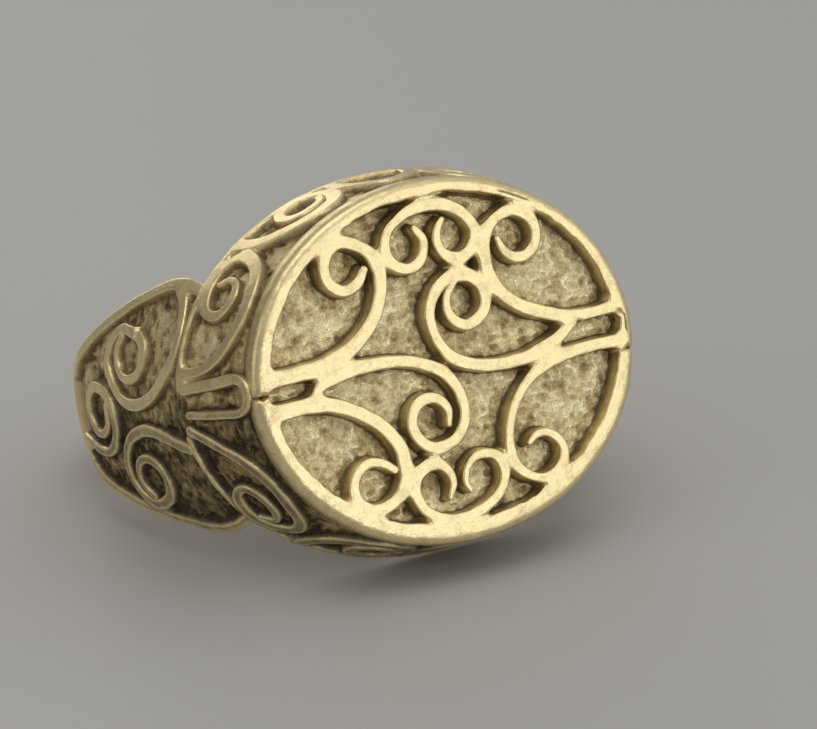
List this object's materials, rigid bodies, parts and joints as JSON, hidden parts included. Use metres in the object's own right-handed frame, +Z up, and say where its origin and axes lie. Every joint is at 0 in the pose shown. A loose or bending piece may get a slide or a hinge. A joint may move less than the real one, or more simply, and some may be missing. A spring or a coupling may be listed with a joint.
{
  "type": "signet ring",
  "caption": "Signet ring with an oval openwork scroll face, a flaring scrollwork gallery, leaf-shaped shoulders and a plain tapering shank, in worn yellow gold.",
  "frame": {"origin": "middle of the footprint, on the surface that the ring lies on", "axes": "+Z up; the face looks towards -Y and slightly up, the plain back of the shank is towards +Y, and +X is to the right of the face seen from the front. The finger hole's axis lies in the YZ plane, 18 degrees off +Z."},
  "size_m": [0.0226, 0.0276, 0.0173],
  "materials": {
    "polished_gold": "polished and softly worn, bright on the flat tops of the wires",
    "patinated_gold": "matte stippled ground with brown patina",
    "worn_gold": "polished, with fine wear scratches"
  },
  "bodies": {
    "root": {"face_plate": "patinated_gold", "face_scroll_lower_left": "polished_gold", "face_scroll_lower_right": "polished_gold", "face_scroll_lower_s": "polished_gold", "face_scroll_lower_twin": "polished_gold", "face_scroll_upper_left": "polished_gold", "face_scroll_upper_right": "polished_gold", "face_scroll_upper_s": "polished_gold", "face_scroll_upper_twin": "polished_gold", "gallery_arch_bottom": "polished_gold", "gallery_arch_top": "polished_gold", "gallery_curl_lower_left": "polished_gold", "gallery_curl_lower_right": "polished_gold", "gallery_curl_upper_left": "polished_gold", "gallery_curl_upper_right": "polished_gold", "gallery_loop_left": "polished_gold", "gallery_loop_right": "polished_gold", "gallery_rail_bottom": "polished_gold", "gallery_rail_top": "polished_gold", "gallery_wall": "patinated_gold", "gallery_wave_lower_left": "polished_gold", "gallery_wave_lower_right": "polished_gold", "gallery_wave_upper_left": "polished_gold", "gallery_wave_upper_right": "polished_gold", "rim_lower": "polished_gold", "rim_upper": "polished_gold", "shank_band": "worn_gold", "shoulder_comma_lower_left": "polished_gold", "shoulder_comma_lower_right": "polished_gold", "shoulder_comma_upper_left": "polished_gold", "shoulder_comma_upper_right": "polished_gold", "shoulder_edge_lower_left": "polished_gold", "shoulder_edge_lower_right": "polished_gold", "shoulder_edge_upper_left": "polished_gold", "shoulder_edge_upper_right": "polished_gold", "shoulder_sheet_left": "patinated_gold", "shoulder_sheet_right": "patinated_gold", "shoulder_spiral_left": "polished_gold", "shoulder_spiral_right": "polished_gold"}
  },
  "joints": []
}
